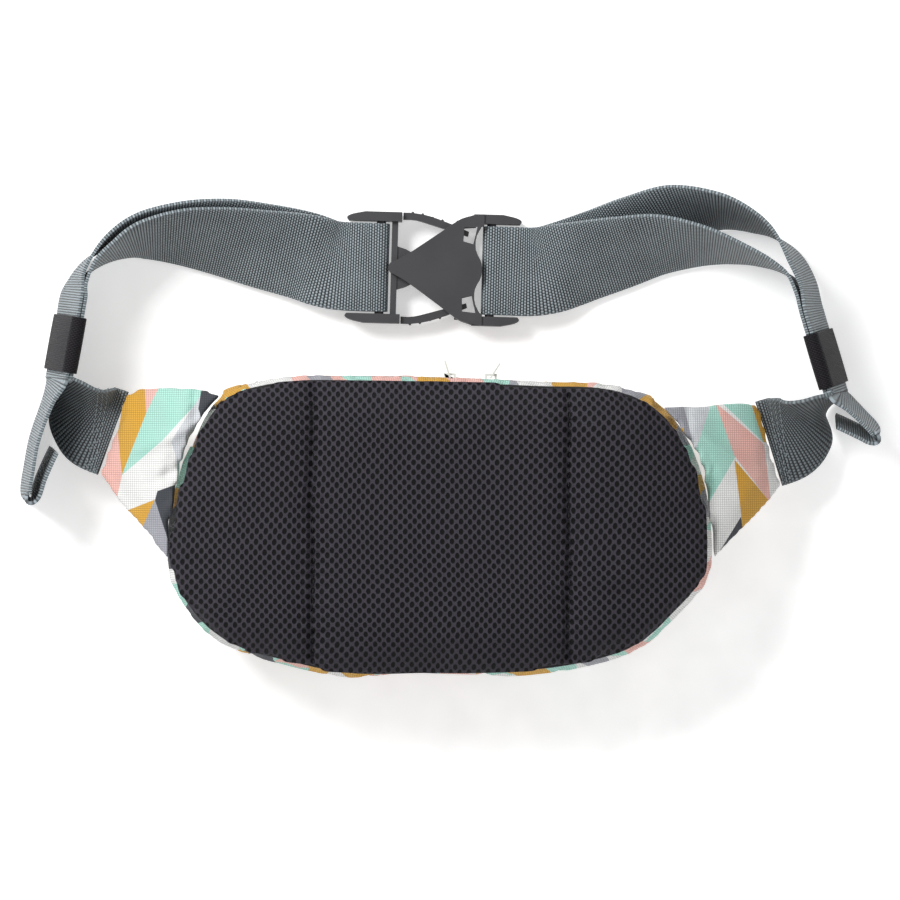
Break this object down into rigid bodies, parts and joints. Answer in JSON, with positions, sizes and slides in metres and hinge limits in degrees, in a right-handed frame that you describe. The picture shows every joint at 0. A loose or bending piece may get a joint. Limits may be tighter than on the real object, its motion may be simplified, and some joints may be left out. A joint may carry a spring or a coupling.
{
  "type": "waist pack",
  "caption": "Zipped waist pack with padded mesh back, fabric wings and an adjustable webbing belt closed by a side-squeeze buckle.",
  "frame": {"origin": "middle of the front pocket's flat face, on the ground the pack lies on", "axes": "+X along the belt to the wearer's side that holds the female buckle half, +Y from the pouch to the buckle, +Z out of the padded back"},
  "size_m": [0.3729, 0.211, 0.061],
  "materials": {
    "printed_fabric": "printed canvas weave",
    "lining_fabric": "plain lining",
    "spacer_mesh": "spacer mesh",
    "webbing": "ribbed nylon weave",
    "elastic": "woven elastic",
    "zip_tape": "woven tape",
    "zip_coil": "nylon coil",
    "zip_metal": "satin plated zinc",
    "buckle_plastic": "fine satin moulded"
  },
  "bodies": {
    "bag": {"front_pocket": "printed_fabric", "front_panel": "printed_fabric", "gusset": "printed_fabric", "back_panel": "lining_fabric", "mesh_pad_left": "spacer_mesh", "mesh_pad_centre": "spacer_mesh", "mesh_pad_right": "spacer_mesh", "wing_left": "printed_fabric", "wing_right": "printed_fabric", "webbing_left": "webbing", "webbing_right": "webbing", "main_zip_tape_back": "zip_tape", "main_zip_tape_front": "zip_tape", "main_zip_coil": "zip_coil", "pocket_zip_tape_back": "zip_tape", "pocket_zip_tape_front": "zip_tape", "pocket_zip_coil": "zip_coil", "buckle_female": "buckle_plastic"},
    "male_half": {"buckle_male": "buckle_plastic"},
    "arm_upper": {"squeeze_arm_upper": "buckle_plastic"},
    "arm_lower": {"squeeze_arm_lower": "buckle_plastic"},
    "slider_left": {"main_zip_slider_left": "zip_metal"},
    "pull_left": {"main_zip_pull_left": "zip_metal"},
    "slider_right": {"main_zip_slider_right": "zip_metal"},
    "pull_right": {"main_zip_pull_right": "zip_metal"},
    "slider_pocket": {"pocket_zip_slider": "zip_metal"},
    "pull_pocket": {"pocket_zip_pull": "zip_metal"},
    "band_left": {"keeper_left": "elastic"},
    "band_right": {"keeper_right": "elastic"}
  },
  "joints": [
    {"name": "buckle_release", "type": "slide", "parent": "bag", "child": "male_half", "axis": [-0.9996, 0.0279, 0], "range_m": [0, 0.034], "deforming": ["webbing_left"]},
    {"name": "arm_upper_squeeze", "type": "hinge", "parent": "male_half", "child": "arm_upper", "pos_m": [-0.01507, 0.13358, 0.0061], "axis": [0, 0, 1], "range_deg": [-6, 0], "stiffness_Nm_per_rad": 0.5},
    {"name": "arm_lower_squeeze", "type": "hinge", "parent": "male_half", "child": "arm_lower", "pos_m": [-0.01632, 0.08859, 0.0061], "axis": [0, 0, 1], "range_deg": [0, 6], "stiffness_Nm_per_rad": 0.5},
    {"name": "zip_left_slide", "type": "slide", "parent": "bag", "child": "slider_left", "axis": [0.9999, -0.014, 0], "range_m": [-0.076, 0.008]},
    {"name": "zip_right_slide", "type": "slide", "parent": "bag", "child": "slider_right", "axis": [0.9999, -0.014, 0], "range_m": [0, 0.048]},
    {"name": "pull_left_flip", "type": "hinge", "parent": "slider_left", "child": "pull_left", "pos_m": [0.00506, 0.06363, 0.032], "axis": [0, 0, 1], "range_deg": [-90, 60]},
    {"name": "pull_right_flip", "type": "hinge", "parent": "slider_right", "child": "pull_right", "pos_m": [0.02256, 0.06338, 0.032], "axis": [0, 0, 1], "range_deg": [-45, 100]},
    {"name": "zip_pocket_slide", "type": "slide", "parent": "bag", "child": "slider_pocket", "axis": [1, 0, 0], "range_m": [0, 0.092]},
    {"name": "pull_pocket_flip", "type": "hinge", "parent": "slider_pocket", "child": "pull_pocket", "pos_m": [-0.044, 0.05876, 0.00331], "axis": [0, 0.766, 0.6428], "range_deg": [-80, 0]},
    {"name": "keeper_left_slide", "type": "slide", "parent": "bag", "child": "band_left", "axis": [0.1799, 0.9837, 0], "range_m": [0, 0.008]},
    {"name": "keeper_right_slide", "type": "slide", "parent": "bag", "child": "band_right", "axis": [-0.2861, 0.9582, 0], "range_m": [0, 0.008]}
  ]
}
